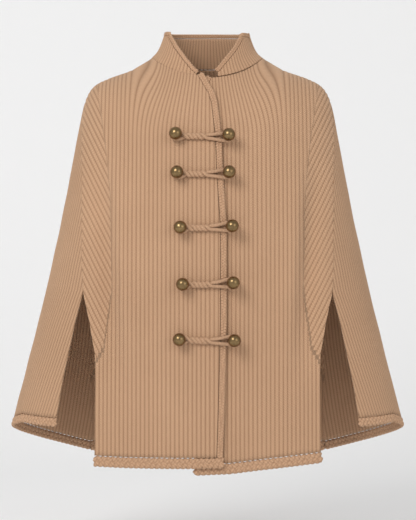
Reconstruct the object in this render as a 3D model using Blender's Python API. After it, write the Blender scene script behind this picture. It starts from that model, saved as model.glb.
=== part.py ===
"""A ribbed wool cape with a funnel collar, braided edges, five cord-and-ball fastenings and two arm slits.

Metres. The origin is the middle of the neck base, +Z is up, the front faces -Y and +X is the wearer's left.
Angles go round the body from the centre front: 0 is the front, 90 the wearer's left side, 180 the back.
"down" counts the body's sections from the neck seam to the hem, and "up" counts the collar's sections.
"""
import math
from collections import namedtuple

import bpy
import numpy as np

# ---- sizes of the cloth and its edgings ----
KNIT_WALL = 0.0030
COLLAR_WALL = 0.0032
SEAM_GAP = 0.0004
NECK_GAP_SECTIONS = 0.035          # the same gap, counted in sections, at the neck seam
FRONT_EDGE_WIDTH = 0.0105
FRONT_EDGE_THICK = 0.0048
COLLAR_EDGE_WIDTH = 0.0075
COLLAR_EDGE_THICK = 0.0056
HEM_WIDTH_BODY = 0.0175
HEM_WIDTH_SIDE = 0.0150
HEM_THICK = 0.0054
SHOULDER_LEAN = 1.6                # how sharply the slanting upper sections roll over the shoulder

# ---- how far each front is moved where the fronts overlap ----
LAP_OUT = 0.0022                   # the right front, outwards
LAP_IN = -0.0050                   # the left front, inwards

# ---- fastenings ----
BALL_RADIUS = 0.0100
SHANK_RADIUS = 0.0021
SHANK_COLLAR_RADIUS = 0.0034
CORD_RADIUS = 0.0027
CORD_LIFT = 0.0046                 # from the right front's outer face to the middle of the cord
BALL_LIFT = 0.0118                 # from the middle of the cord to the middle of the ball
CORD_SPLIT = 0.60                  # the share of its length where the loop's two strands part

# ---- sections of the body, from the neck seam down; the last row lies below the hem ----
Section = namedtuple("Section", "half_width side_z front_y front_z back_y back_z square")
SECTIONS = (
    Section(0.0880, 0.0190, -0.0680, -0.0160, 0.0750, 0.0080, 2.00),
    Section(0.1192, 0.0000, -0.0800, -0.0400, 0.0880, -0.0150, 2.00),
    Section(0.1552, -0.0128, -0.0910, -0.0650, 0.0980, -0.0420, 2.00),
    Section(0.1800, -0.0256, -0.0990, -0.0900, 0.1060, -0.0720, 2.00),
    Section(0.1932, -0.0440, -0.1070, -0.1180, 0.1120, -0.1040, 2.00),
    Section(0.2005, -0.0700, -0.1140, -0.1480, 0.1170, -0.1350, 2.05),
    Section(0.2080, -0.1080, -0.1200, -0.1800, 0.1200, -0.1680, 2.10),
    Section(0.2176, -0.1600, -0.1240, -0.2200, 0.1220, -0.2080, 2.15),
    Section(0.2335, -0.2420, -0.1260, -0.2780, 0.1225, -0.2700, 2.20),
    Section(0.2576, -0.3520, -0.1255, -0.3520, 0.1220, -0.3520, 2.20),
    Section(0.2816, -0.4480, -0.1245, -0.4480, 0.1235, -0.4480, 2.20),
    Section(0.3064, -0.5440, -0.1250, -0.5440, 0.1260, -0.5440, 2.20),
    Section(0.3310, -0.6400, -0.1255, -0.6400, 0.1290, -0.6400, 2.20),
    Section(0.3500, -0.7200, -0.1260, -0.7200, 0.1320, -0.7200, 2.20),
)

# ---- sections of the collar, from the neck seam up ----
COLLAR_SECTIONS = (
    Section(0.0880, 0.0190, -0.0680, -0.0160, 0.0750, 0.0080, 2.00),
    Section(0.0800, 0.0260, -0.0655, 0.0020, 0.0732, 0.0220, 2.00),
    Section(0.0745, 0.0350, -0.0630, 0.0190, 0.0720, 0.0360, 2.00),
    Section(0.0700, 0.0465, -0.0605, 0.0370, 0.0708, 0.0505, 2.00),
    Section(0.0662, 0.0590, -0.0580, 0.0560, 0.0702, 0.0665, 2.00),
)

# ---- where the panels meet, as angles from the centre front ----
Seam = namedtuple("Seam", "down body_side wing_front wing_back")
SEAMS = (
    Seam(0.0, 95.0, 95.0, 95.0),
    Seam(4.0, 94.0, 94.0, 94.0),
    Seam(4.5, 91.0, 91.0, 96.0),
    Seam(5.0, 82.9, 82.9, 99.0),
    Seam(6.0, 72.7, 72.7, 107.3),
    Seam(7.0, 64.6, 64.6, 115.4),
    Seam(8.0, 55.8, 55.8, 124.2),
    Seam(9.0, 46.9, 46.9, 133.1),
    Seam(9.5, 40.8, 48.2, 136.2),
    Seam(10.0, 36.2, 48.6, 138.7),
    Seam(10.5, 34.0, 48.8, 140.8),
    Seam(11.2, 31.8, 48.0, 143.8),
    Seam(12.0, 29.5, 47.3, 146.6),
    Seam(13.0, 28.0, 47.0, 148.5),
)
GORE_TOP = 4.5                     # where each side gore starts, on the shoulder point

# ---- the rows of facets that all panels share, so that their seams match; the last one is each panel's hem ----
LEVELS = (NECK_GAP_SECTIONS, 0.5, 1.0, 1.5, 2.0, 2.5, 3.0, 3.5, 4.0, 4.5, 4.75, 5.0, 5.5, 6.0, 6.5, 7.0, 7.5,
          8.0, 8.5, 9.0, 9.5, 10.0, 10.5, 11.2, 12.0)
FREE_LEVEL = 10.0                  # below this the rows stretch to reach each panel's own hem

# ---- the outer line of each front edge, x by height ----
EdgePoint = namedtuple("EdgePoint", "z right_x left_x")
FRONT_EDGES = (
    EdgePoint(0.000, -0.0120, 0.0040),
    EdgePoint(-0.016, -0.0050, -0.0040),
    EdgePoint(-0.033, 0.0040, -0.0120),
    EdgePoint(-0.045, 0.0112, -0.0160),
    EdgePoint(-0.060, 0.0158, -0.0185),
    EdgePoint(-0.112, 0.0219, -0.0200),
    EdgePoint(-0.170, 0.0240, -0.0205),
    EdgePoint(-0.254, 0.0296, -0.0205),
    EdgePoint(-0.400, 0.0296, -0.0205),
    EdgePoint(-0.530, 0.0265, -0.0205),
    EdgePoint(-0.640, 0.0227, -0.0210),
)

# ---- the collar's cut front edge, how far it stands from the centre by height ----
CutPoint = namedtuple("CutPoint", "z right_x left_x")
COLLAR_CUT = (
    CutPoint(-0.0160, 0.0010, 0.0005),
    CutPoint(-0.0090, 0.0110, 0.0050),
    CutPoint(0.0000, 0.0200, 0.0125),
    CutPoint(0.0040, 0.0245, 0.0190),
    CutPoint(0.0165, 0.0360, 0.0310),
    CutPoint(0.0380, 0.0500, 0.0480),
    CutPoint(0.0700, 0.0650, 0.0650),
)

# ---- the lower edge of each panel's hem band: height at five places from its front side to its back side ----
HEM_SHARES = (0.0, 0.25, 0.5, 0.75, 1.0)
HEM_RIGHT = (-0.6240, -0.6245, -0.6245, -0.6240, -0.6225)
HEM_LEFT = (-0.6350, -0.6330, -0.6270, -0.6220, -0.6170)
HEM_SIDE = (-0.5640, -0.5600, -0.5760, -0.5980, -0.6190)
HEM_BACK = (-0.6200, -0.6270, -0.6290, -0.6270, -0.6200)

# ---- the largest folds: soft troughs (minus) and ridges (plus), by x on the front or back ----
Fold = namedtuple("Fold", "face x lean top bottom width depth")
FOLDS = (
    Fold("front", -0.156, 0.030, -0.130, -0.520, 0.017, -0.0110),
    Fold("front", -0.129, 0.020, -0.150, -0.500, 0.015, 0.0050),
    Fold("front", 0.158, -0.025, -0.140, -0.500, 0.017, -0.0100),
    Fold("front", 0.131, -0.020, -0.160, -0.480, 0.015, 0.0045),
    Fold("front", -0.082, 0.012, -0.330, -0.640, 0.022, -0.0030),
    Fold("front", 0.090, 0.010, -0.360, -0.650, 0.024, -0.0035),
    Fold("back", -0.130, 0.020, -0.180, -0.640, 0.022, -0.0090),
    Fold("back", 0.120, -0.030, -0.220, -0.640, 0.024, -0.0080),
    Fold("back", -0.045, -0.010, -0.300, -0.660, 0.026, -0.0060),
    Fold("back", 0.038, 0.016, -0.260, -0.660, 0.022, -0.0055),
)

# ---- fastenings, from the top: the place of each ball, and how far the cord sags ----
Fastening = namedtuple("Fastening", "right_x right_z left_x left_z sag")
FASTENINGS = (
    Fastening(-0.0475, -0.0931, 0.0312, -0.0937, 0.0008),
    Fastening(-0.0453, -0.1726, 0.0317, -0.1726, 0.0010),
    Fastening(-0.0406, -0.2547, 0.0364, -0.2527, 0.0016),
    Fastening(-0.0373, -0.3408, 0.0380, -0.3385, 0.0022),
    Fastening(-0.0421, -0.4250, 0.0396, -0.4266, 0.0020),
)

# ---- how finely each piece is faceted ----
FRONT_COLUMNS = 14
SIDE_COLUMNS = 12
BACK_COLUMNS = 27
COLLAR_COLUMNS = 44
COLLAR_ROWS = 4
CORD_SIDES = 8


# ======== the form of the body ========

def smooth_value(table, name, place):
    """A column of a table at a fractional row, on a curve through all its rows."""
    column = np.array([getattr(row, name) for row in table])
    place = np.clip(np.asarray(place, float), 0.0, len(column) - 1.0)
    first = np.clip(np.floor(place).astype(int), 0, len(column) - 2)
    part = place - first
    last = len(column) - 1
    before = column[np.maximum(first - 1, 0)]
    here = column[first]
    there = column[first + 1]
    after = column[np.minimum(first + 2, last)]
    start_slope = (there - before) / 2
    end_slope = (after - here) / 2
    return (
        here * (2 * part**3 - 3 * part**2 + 1)
        + start_slope * (part**3 - 2 * part**2 + part)
        + there * (3 * part**2 - 2 * part**3)
        + end_slope * (part**3 - part**2)
    )


def line_value(table, key, name, place):
    """A column of a table by another of its columns, in straight steps."""
    keys = np.array([getattr(row, key) for row in table])
    values = np.array([getattr(row, name) for row in table])
    order = np.argsort(keys)
    return np.interp(place, keys[order], values[order])


def plain_form(table, angle, place):
    """Points of the body or the collar before its folds."""
    turn = np.radians(angle)
    side = np.sin(turn)
    ahead = np.cos(turn)
    is_front = ahead >= 0
    power = 2 / smooth_value(table, "square", place)
    x = smooth_value(table, "half_width", place) * np.sign(side) * np.abs(side) ** power
    depth = np.where(is_front, smooth_value(table, "front_y", place), smooth_value(table, "back_y", place))
    y = depth * np.abs(ahead) ** power
    side_z = smooth_value(table, "side_z", place)
    end_z = np.where(is_front, smooth_value(table, "front_z", place), smooth_value(table, "back_z", place))
    z = side_z + (end_z - side_z) * np.abs(ahead) ** SHOULDER_LEAN
    return np.stack(np.broadcast_arrays(x, y, z), axis=-1)


def outward(form, angle, place):
    """The outward direction of a form, from two short steps across it."""
    step_round = 0.4
    step_down = 0.02
    across = form(angle + step_round, place) - form(angle - step_round, place)
    along = form(angle, place + step_down) - form(angle, place - step_down)
    normal = np.cross(across, along)
    normal /= np.maximum(np.linalg.norm(normal, axis=-1, keepdims=True), 1e-12)
    middle = form(angle, place) * np.array([1.0, 1.0, 0.0])
    inward = (normal * middle).sum(-1, keepdims=True) < 0
    return np.where(inward, -normal, normal)


def rise_and_fall(height, top, bottom):
    """0 at the two ends of a fold and 1 at its middle, softly."""
    share = np.clip((top - height) / (top - bottom), 0.0, 1.0)
    return np.sin(math.pi * share) ** 0.8


def fold_depth(points, facing_front):
    """How far the folds move each point outwards."""
    depth = np.zeros(points.shape[:-1])
    for fold in FOLDS:
        share = np.clip((fold.top - points[..., 2]) / (fold.top - fold.bottom), 0.0, 1.0)
        middle = fold.x + fold.lean * (share - 0.5)
        across = (points[..., 0] - middle) / fold.width
        there = facing_front if fold.face == "front" else ~facing_front
        height = rise_and_fall(points[..., 2], fold.top, fold.bottom)
        depth += np.where(there, fold.depth * height * np.exp(-across**2), 0.0)
    return depth


def body_plain(angle, down):
    return plain_form(SECTIONS, angle, down)


def body(angle, down):
    """Points of the body with its folds."""
    points = body_plain(angle, down)
    facing_front = np.cos(np.radians(angle + 0 * down)) > 0
    return points + outward(body_plain, angle, down) * fold_depth(points, facing_front)[..., None]


def collar(angle, up):
    return plain_form(COLLAR_SECTIONS, angle, up)


def softly(value, start, end):
    """0 before start, 1 after end, with a soft step between."""
    share = np.clip((value - start) / (end - start), 0.0, 1.0)
    return share * share * (3 - 2 * share)


def lap_shift(points, side):
    """How far outwards a front or the collar's end lies because the fronts overlap."""
    near_front = points[..., 1] < 0
    if side == "right":
        amount = LAP_OUT * softly(points[..., 0], -0.105, -0.065)
    else:
        amount = LAP_IN * softly(-points[..., 0], -0.095, -0.052)
    return np.where(near_front, amount, 0.0)


# ======== grids of points ========

def angle_of_edge(side, down, inset):
    """The angle where a front's outer edge, less an inset, crosses a section."""
    low = np.full(np.shape(down), -30.0)
    high = np.full(np.shape(down), 40.0)
    wanted = "right_x" if side == "right" else "left_x"
    towards_panel = -1.0 if side == "right" else 1.0
    for _ in range(30):
        middle = (low + high) / 2
        points = body_plain(middle, down)
        target = line_value(FRONT_EDGES, "z", wanted, points[..., 2]) + towards_panel * inset
        beyond = points[..., 0] > target
        high = np.where(beyond, middle, high)
        low = np.where(beyond, low, middle)
    return (low + high) / 2


def even_angles(start, end, down, shares, margin):
    """Angles that split each section between two edges into even lengths of cloth."""
    found = np.zeros((len(down), len(shares)))
    steps = np.linspace(0.0, 1.0, 81)
    for row, place in enumerate(down):
        angles = start[row] + (end[row] - start[row]) * steps
        line = body_plain(angles, np.full_like(angles, place))
        run = np.concatenate([[0.0], np.cumsum(np.linalg.norm(np.diff(line, axis=0), axis=1))])
        wanted = margin[0] + (run[-1] - margin[0] - margin[1]) * shares
        found[row] = np.interp(wanted, run, angles)
    return found


def down_at_height(angle, height):
    """The section where the form at an angle reaches a height."""
    low = np.full(np.shape(angle), 4.0)
    high = np.full(np.shape(angle), 13.0)
    for _ in range(34):
        middle = (low + high) / 2
        lower = body_plain(angle, middle)[..., 2] < height
        high = np.where(lower, middle, high)
        low = np.where(lower, low, middle)
    return (low + high) / 2


def panel_grid(start_at, end_at, top, hem, band, columns, margin):
    """Angles and sections of a panel's grid; start_at and end_at give its side edges by section."""
    shares = np.linspace(0.0, 1.0, columns)
    levels = np.linspace(top, 12.9, 150)
    angles = even_angles(start_at(levels), end_at(levels), levels, shares, margin)
    hem_height = np.interp(shares, HEM_SHARES, hem) + band + SEAM_GAP
    bottom = np.zeros(columns)
    for column in range(columns):
        heights = body_plain(angles[:, column], levels)[..., 2]
        bottom[column] = np.interp(-hem_height[column], -heights, levels)
    rows = np.array([level for level in LEVELS if level >= top])[:, None]
    reach = (bottom[None, :] - FREE_LEVEL) / (LEVELS[-1] - FREE_LEVEL)
    down = np.where(rows > FREE_LEVEL, FREE_LEVEL + (rows - FREE_LEVEL) * reach, rows)
    angle = np.zeros_like(down)
    for column in range(columns):
        angle[:, column] = np.interp(down[:, column], levels, angles[:, column])
    return angle, down


def seam_line(name, side):
    """A function that gives a seam's signed angle by section."""
    sign = -1.0 if side == "right" else 1.0
    return lambda down: sign * line_value(SEAMS, "down", name, down)


# ======== turning grids into meshes ========

def material(name, colour, roughness, metallic):
    made = bpy.data.materials.new(name)
    made.use_nodes = True
    shader = made.node_tree.nodes["Principled BSDF"]
    shader.inputs["Base Color"].default_value = (*colour, 1.0)
    shader.inputs["Roughness"].default_value = roughness
    shader.inputs["Metallic"].default_value = metallic
    return made


def add_object(name, points, faces, finish):
    """One named object, smooth shaded, with its own material."""
    mesh = bpy.data.meshes.new(name)
    mesh.from_pydata([tuple(point) for point in points], [], faces)
    mesh.validate()
    mesh.update()
    mesh.shade_smooth()
    mesh.materials.append(material(name + "_finish", *finish))
    made = bpy.data.objects.new(name, mesh)
    bpy.context.scene.collection.objects.link(made)
    return made


def facing_out(points, faces):
    """The same faces, turned over if the closed mesh they make is inside out."""
    volume = 0.0
    for face in faces:
        for corner in range(1, len(face) - 1):
            a, b, c = points[face[0]], points[face[corner]], points[face[corner + 1]]
            volume += np.dot(a, np.cross(b, c))
    return faces if volume > 0 else [tuple(reversed(face)) for face in faces]


def wall_mesh(outer, inner):
    """Points and faces of a closed wall between two grids of the same size."""
    rows, columns = outer.shape[:2]
    points = np.concatenate([outer.reshape(-1, 3), inner.reshape(-1, 3)])
    back = rows * columns

    def at(row, column):
        return row * columns + column

    faces = []
    for row in range(rows - 1):
        for column in range(columns - 1):
            a, b = at(row, column), at(row, column + 1)
            c, d = at(row + 1, column + 1), at(row + 1, column)
            faces.append((a, b, c, d))
            faces.append((back + d, back + c, back + b, back + a))
    rim = [at(0, column) for column in range(columns)]
    rim += [at(row, columns - 1) for row in range(1, rows)]
    rim += [at(rows - 1, column) for column in range(columns - 2, -1, -1)]
    rim += [at(row, 0) for row in range(rows - 2, 0, -1)]
    for here, there in zip(rim, rim[1:] + rim[:1]):
        faces.append((there, here, back + here, back + there))
    return points, faces


def unit(vectors):
    return vectors / np.maximum(np.linalg.norm(vectors, axis=-1, keepdims=True), 1e-12)


def along_path(points):
    """The direction of a line at each of its points."""
    return unit(np.gradient(points, axis=0))


def band_profile(width, thick):
    """A rounded flat profile, as (out, up) pairs: out leaves the panel, up is along its normal."""
    corner = min(width, thick) * 0.28
    half = thick / 2
    return (
        (0.0, -half + corner),
        (corner, -half),
        (width - corner, -half),
        (width, -half + corner),
        (width, half - corner),
        (width - corner, half),
        (corner, half),
        (0.0, half - corner),
    )


def swept_band(line, out, normal, width, thick, end_scale):
    """A closed band along a panel's edge. Its two ends are narrower by end_scale, as rounded corners."""
    rings = []
    count = len(line)
    for place in range(count):
        scale = end_scale if place in (0, count - 1) else 1.0
        ring = []
        for away, height in band_profile(width * scale, thick):
            ring.append(line[place] + out[place] * away + normal[place] * height)
        rings.append(ring)
    return tube_mesh(np.array(rings), closed=False)


def tube_mesh(rings, closed):
    """Points and faces of a tube through rings of points; an open tube gets flat ends."""
    count, sides = rings.shape[:2]
    points = rings.reshape(-1, 3)
    faces = []
    for ring in range(count if closed else count - 1):
        after = (ring + 1) % count
        for side in range(sides):
            beside = (side + 1) % sides
            faces.append((
                ring * sides + side,
                ring * sides + beside,
                after * sides + beside,
                after * sides + side,
            ))
    if not closed:
        faces.append(tuple(range(sides - 1, -1, -1)))
        faces.append(tuple((count - 1) * sides + side for side in range(sides)))
    return points, faces


def add_closed(name, points, faces, finish):
    return add_object(name, points, facing_out(points, faces), finish)


# ======== the pieces ========

KNIT = ((0.47, 0.29, 0.17), 0.95, 0.0)
BRAID = ((0.44, 0.27, 0.155), 0.95, 0.0)
BRASS = ((0.20, 0.135, 0.07), 0.38, 1.0)


def cloth_wall(form, angle, place, shift, thick):
    """The outer face, the inner face and the outward direction of a panel."""
    normal = outward(form, angle, place)
    face = form(angle, place)
    outer = face + normal * shift(face)[..., None]
    return outer, outer - normal * thick, normal


def edge_from(outer, inner, neighbour, gap):
    """A line just outside a panel's edge, with its outward-in-plane and normal directions."""
    middle = (outer + inner) / 2
    normal = unit(outer - inner)
    along = along_path(middle)
    out = unit(np.cross(along, normal))
    away = middle - neighbour
    flip = (out * away).sum(-1, keepdims=True) < 0
    out = np.where(flip, -out, out)
    return middle + out * gap, out, normal


def make_front(side):
    """One front with its cable edging and its hem band."""
    def start_at(down):
        return angle_of_edge(side, down, FRONT_EDGE_WIDTH + SEAM_GAP)

    def shift(points):
        return lap_shift(points, side)

    hem = HEM_RIGHT if side == "right" else HEM_LEFT
    angle, down = panel_grid(start_at, seam_line("body_side", side), NECK_GAP_SECTIONS, hem, HEM_WIDTH_BODY,
                             FRONT_COLUMNS, (0.0, SEAM_GAP / 2))
    outer, inner, _ = cloth_wall(body, angle, down, shift, KNIT_WALL)
    add_closed(f"front_{side}", *wall_mesh(outer, inner), KNIT)

    middle = (outer + inner) / 2
    line, out, normal = edge_from(outer[:, 0], inner[:, 0], middle[:, 1], SEAM_GAP)
    line[-1] += unit(line[-2] - line[-1]) * 2 * SEAM_GAP
    add_closed(f"edge_front_{side}",
               *swept_band(line, out, normal, FRONT_EDGE_WIDTH, FRONT_EDGE_THICK, 0.9), BRAID)

    line, out, normal = edge_from(outer[-1], inner[-1], middle[-2], SEAM_GAP)
    reach = FRONT_EDGE_WIDTH + SEAM_GAP
    for _ in range(2):
        beyond = line[0] + unit(line[0] - line[1]) * reach / 2
        line = np.concatenate([[beyond], line])
        out = np.concatenate([out[:1], out])
        normal = np.concatenate([normal[:1], normal])
    add_closed(f"hem_front_{side}",
               *swept_band(line, out, normal, HEM_WIDTH_BODY, HEM_THICK, 0.7), BRAID)
    return outer


def make_side(side):
    """One side gore with its hem band."""
    angle, down = panel_grid(seam_line("wing_front", side), seam_line("wing_back", side), GORE_TOP, HEM_SIDE,
                             HEM_WIDTH_SIDE, SIDE_COLUMNS, (SEAM_GAP / 2, SEAM_GAP / 2))
    outer, inner, _ = cloth_wall(body, angle, down, lambda points: 0.0 * points[..., 0], KNIT_WALL)
    add_closed(f"side_{side}", *wall_mesh(outer, inner), KNIT)
    middle = (outer + inner) / 2
    line, out, normal = edge_from(outer[-1], inner[-1], middle[-2], SEAM_GAP)
    add_closed(f"hem_side_{side}",
               *swept_band(line, out, normal, HEM_WIDTH_SIDE, HEM_THICK, 0.6), BRAID)


def make_back():
    """The back panel, from one back seam round to the other, with its hem band."""
    right = seam_line("wing_back", "right")
    left = seam_line("wing_back", "left")
    angle, down = panel_grid(left, lambda place: 360.0 + right(place), NECK_GAP_SECTIONS, HEM_BACK,
                             HEM_WIDTH_BODY, BACK_COLUMNS, (SEAM_GAP / 2, SEAM_GAP / 2))
    outer, inner, _ = cloth_wall(body, angle, down, lambda points: 0.0 * points[..., 0], KNIT_WALL)
    add_closed("back", *wall_mesh(outer, inner), KNIT)
    middle = (outer + inner) / 2
    line, out, normal = edge_from(outer[-1], inner[-1], middle[-2], SEAM_GAP)
    add_closed("hem_back", *swept_band(line, out, normal, HEM_WIDTH_BODY, HEM_THICK, 0.75), BRAID)


def collar_top(angle):
    """How far up the collar reaches at an angle: to its rim, or to its slanting front edge."""
    signed = (angle + 180.0) % 360.0 - 180.0
    wanted = "left_x" if signed > 0 else "right_x"
    low, high = 0.0, len(COLLAR_SECTIONS) - 1.0
    if abs(signed) > 80.0:
        return high
    for _ in range(30):
        middle = (low + high) / 2
        point = collar(np.array(signed), np.array(middle))
        cut = line_value(COLLAR_CUT, "z", wanted, point[2])
        if cut < abs(point[0]):
            low = middle
        else:
            high = middle
    return (low + high) / 2


def collar_angles():
    """Angles round the collar from its right front end, by the back, to its left front end; -360 to 0."""
    start = -14.0
    end = -348.0
    share = np.linspace(0.0, 1.0, COLLAR_COLUMNS)
    crowded = share + 0.045 * np.sin(4 * math.pi * share) / 2
    return start + (end - start) * crowded


def make_collar():
    """The collar and the braided edging round its free edge."""
    angles = collar_angles()
    tops = np.array([collar_top(angle) for angle in angles])
    shares = np.linspace(0.0, 1.0, COLLAR_ROWS)[:, None]
    edging = (COLLAR_EDGE_WIDTH + SEAM_GAP) / 0.0135
    upper = np.maximum(tops - edging, NECK_GAP_SECTIONS + 0.16)
    place = NECK_GAP_SECTIONS + (upper[None, :] - NECK_GAP_SECTIONS) * shares
    angle = np.broadcast_to(angles, place.shape)

    def shift(points):
        is_left = points[..., 0] > 0
        return np.where(is_left, lap_shift(points, "left"), lap_shift(points, "right"))

    outer, inner, _ = cloth_wall(collar, angle, place, shift, COLLAR_WALL)
    add_closed("collar", *wall_mesh(outer, inner), KNIT)
    middle = (outer + inner) / 2
    line, out, normal = edge_from(outer[-1], inner[-1], middle[-2], SEAM_GAP)
    add_closed("edge_collar",
               *swept_band(line, out, normal, COLLAR_EDGE_WIDTH, COLLAR_EDGE_THICK, 0.8), BRAID)


def front_point(x, z):
    """A point of the front's form by x and height, and its outward direction."""
    angle = np.array(0.0)
    down = np.array(6.0)
    for _ in range(12):
        down = down_at_height(angle, z)
        half = smooth_value(SECTIONS, "half_width", down)
        square = smooth_value(SECTIONS, "square", down)
        angle = np.sign(x) * np.degrees(np.arcsin(abs(x / half) ** (square / 2)))
    return body(angle, down), outward(body, angle, down)


def turned_ball(foot, normal, lift):
    """A ball with its shank, turned about the outward direction; foot is on the cloth's outer face."""
    neck = lift - math.sqrt(BALL_RADIUS**2 - SHANK_COLLAR_RADIUS**2)
    outline = [
        (0.0, SEAM_GAP),
        (SHANK_COLLAR_RADIUS, SEAM_GAP),
        (SHANK_COLLAR_RADIUS, SEAM_GAP + 0.0006),
        (SHANK_RADIUS, SEAM_GAP + 0.0011),
        (SHANK_RADIUS, neck - 0.0008),
    ]
    first = math.asin(SHANK_COLLAR_RADIUS / BALL_RADIUS)
    for turn in np.linspace(first, math.pi, 11):
        outline.append((BALL_RADIUS * math.sin(turn), lift - BALL_RADIUS * math.cos(turn)))
    outline[-1] = (0.0, lift + BALL_RADIUS)
    side = unit(np.cross(normal, np.array([0.0, 0.0, 1.0])))
    over = np.cross(side, normal)
    sides = 18
    points = [foot + normal * outline[0][1]]
    for radius, height in outline[1:-1]:
        for step in range(sides):
            turn = 2 * math.pi * step / sides
            points.append(foot + normal * height + (side * math.cos(turn) + over * math.sin(turn)) * radius)
    points.append(foot + normal * outline[-1][1])
    faces = []
    rings = len(outline) - 2
    for step in range(sides):
        beside = (step + 1) % sides
        faces.append((0, 1 + beside, 1 + step))
        for ring in range(rings - 1):
            low = 1 + ring * sides
            high = low + sides
            faces.append((low + step, low + beside, high + beside, high + step))
        top = 1 + (rings - 1) * sides
        faces.append((top + step, top + beside, len(points) - 1))
    return np.array(points), faces


def cord_half_width(share):
    """Half the distance between the loop's two strands, by the share of the way between the shanks."""
    touching = CORD_RADIUS + 0.0003
    round_shank = SHANK_RADIUS + CORD_RADIUS + 0.0012
    near_right = 1.0 - softly(share, 0.0, 0.16)
    near_left = softly(share, CORD_SPLIT, 0.97)
    return touching + (round_shank - touching) * max(near_right, near_left)


def loop_line(start, end, facing, sag):
    """The middle line of a closed loop round two shanks, flat to the cloth that it crosses."""
    run = end - start
    ahead = unit(run)
    over = unit(np.cross(ahead, facing))
    over = over if over[2] > 0 else -over
    round_shank = SHANK_RADIUS + CORD_RADIUS + 0.0012
    steps = 15
    upper = []
    lower = []
    for step in range(steps + 1):
        share = step / steps
        middle = start + run * share
        middle = middle - over * sag * math.sin(math.pi * share)
        half = cord_half_width(share)
        upper.append(middle + over * half)
        lower.append(middle - over * half)
    line = list(upper)
    for turn in np.linspace(math.pi / 2, -math.pi / 2, 7)[1:-1]:
        line.append(end + (over * math.sin(turn) + ahead * math.cos(turn)) * round_shank)
    line += lower[::-1]
    for turn in np.linspace(-math.pi / 2, -3 * math.pi / 2, 7)[1:-1]:
        line.append(start + (over * math.sin(turn) + ahead * math.cos(turn)) * round_shank)
    return np.array(line)


def make_fastening(number, row):
    """Two balls and the cord loop between them."""
    face, normal_right = front_point(row.right_x, row.right_z)
    foot_right = face + normal_right * LAP_OUT
    face, normal_left = front_point(row.left_x, row.left_z)
    foot_left = face + normal_left * LAP_IN
    lift_right = CORD_LIFT + BALL_LIFT
    lift_left = CORD_LIFT + BALL_LIFT + LAP_OUT - LAP_IN
    add_closed(f"ball_right_{number}", *turned_ball(foot_right, normal_right, lift_right), BRASS)
    add_closed(f"ball_left_{number}", *turned_ball(foot_left, normal_left, lift_left), BRASS)

    start = foot_right + normal_right * CORD_LIFT
    end = foot_left + normal_left * (CORD_LIFT + LAP_OUT - LAP_IN)
    facing = unit(normal_right + normal_left)
    line = loop_line(start, end, facing, row.sag)
    share = np.clip((line[:, 0] - start[0]) / (end[0] - start[0]), 0.0, 1.0)
    bulge = cord_bulge(start, end, share)
    line = line + bulge
    after = np.roll(line, -1, axis=0)
    before = np.roll(line, 1, axis=0)
    along = unit(after - before)
    beside = unit(np.cross(along, facing))
    rings = []
    for turn in np.linspace(0, 2 * math.pi, CORD_SIDES, endpoint=False):
        rings.append(line + (beside * math.cos(turn) + facing * math.sin(turn)) * CORD_RADIUS)
    rings = np.array(rings).transpose(1, 0, 2)
    add_closed(f"cord_loop_{number}", *tube_mesh(rings, closed=True), BRAID)


def cord_bulge(start, end, share):
    """How far the cord bows out between its ends to follow the rounded chest."""
    places = np.linspace(0.0, 1.0, 9)
    needed = []
    for place in places:
        straight = start + (end - start) * place
        face, normal = front_point(straight[0], straight[2])
        clear = np.dot(face - straight, normal) + LAP_OUT + CORD_LIFT
        needed.append(clear)
    amount = np.interp(share, places, needed)
    amount = amount * np.sin(np.pi * np.clip(share, 0.0, 1.0)) ** 0.5
    middle_face, middle_normal = front_point((start[0] + end[0]) / 2, (start[2] + end[2]) / 2)
    return amount[:, None] * middle_normal


# ======== build ========

for old in list(bpy.data.objects):
    bpy.data.objects.remove(old, do_unlink=True)

for each_side in ("right", "left"):
    make_front(each_side)
    make_side(each_side)
make_back()
make_collar()
for count, fastening in enumerate(FASTENINGS, start=1):
    make_fastening(count, fastening)
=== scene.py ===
import math
from collections import namedtuple

import bpy
import numpy as np
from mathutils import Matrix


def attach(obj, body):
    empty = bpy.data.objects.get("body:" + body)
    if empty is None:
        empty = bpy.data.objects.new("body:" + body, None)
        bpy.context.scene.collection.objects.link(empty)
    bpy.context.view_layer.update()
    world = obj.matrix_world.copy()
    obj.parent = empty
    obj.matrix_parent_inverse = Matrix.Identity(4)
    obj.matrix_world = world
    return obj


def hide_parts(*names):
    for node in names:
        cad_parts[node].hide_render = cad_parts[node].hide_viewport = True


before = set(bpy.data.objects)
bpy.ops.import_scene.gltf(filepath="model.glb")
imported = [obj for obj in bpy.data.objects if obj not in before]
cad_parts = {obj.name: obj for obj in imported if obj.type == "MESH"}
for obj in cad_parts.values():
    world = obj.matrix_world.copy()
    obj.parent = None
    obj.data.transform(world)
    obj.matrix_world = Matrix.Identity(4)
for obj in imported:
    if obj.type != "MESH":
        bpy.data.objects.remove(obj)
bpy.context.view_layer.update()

# ---- sizes of the cloth and its edgings ----
KNIT_WALL = 0.0030
COLLAR_WALL = 0.0032
NECK_GAP_SECTIONS = 0.02
FRONT_EDGE_WIDTH = 0.0105
COLLAR_EDGE_WIDTH = 0.0075
HEM_WIDTH_BODY = 0.0175
HEM_WIDTH_SIDE = 0.0150
SHOULDER_LEAN = 1.6
LAP_OUT = 0.0022
LAP_IN = -0.0050
BALL_RADIUS = 0.0100
SHANK_RADIUS = 0.0021
CORD_RADIUS = 0.0027
CORD_LIFT = 0.0046
BALL_LIFT = 0.0118
CORD_SPLIT = 0.60

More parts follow.
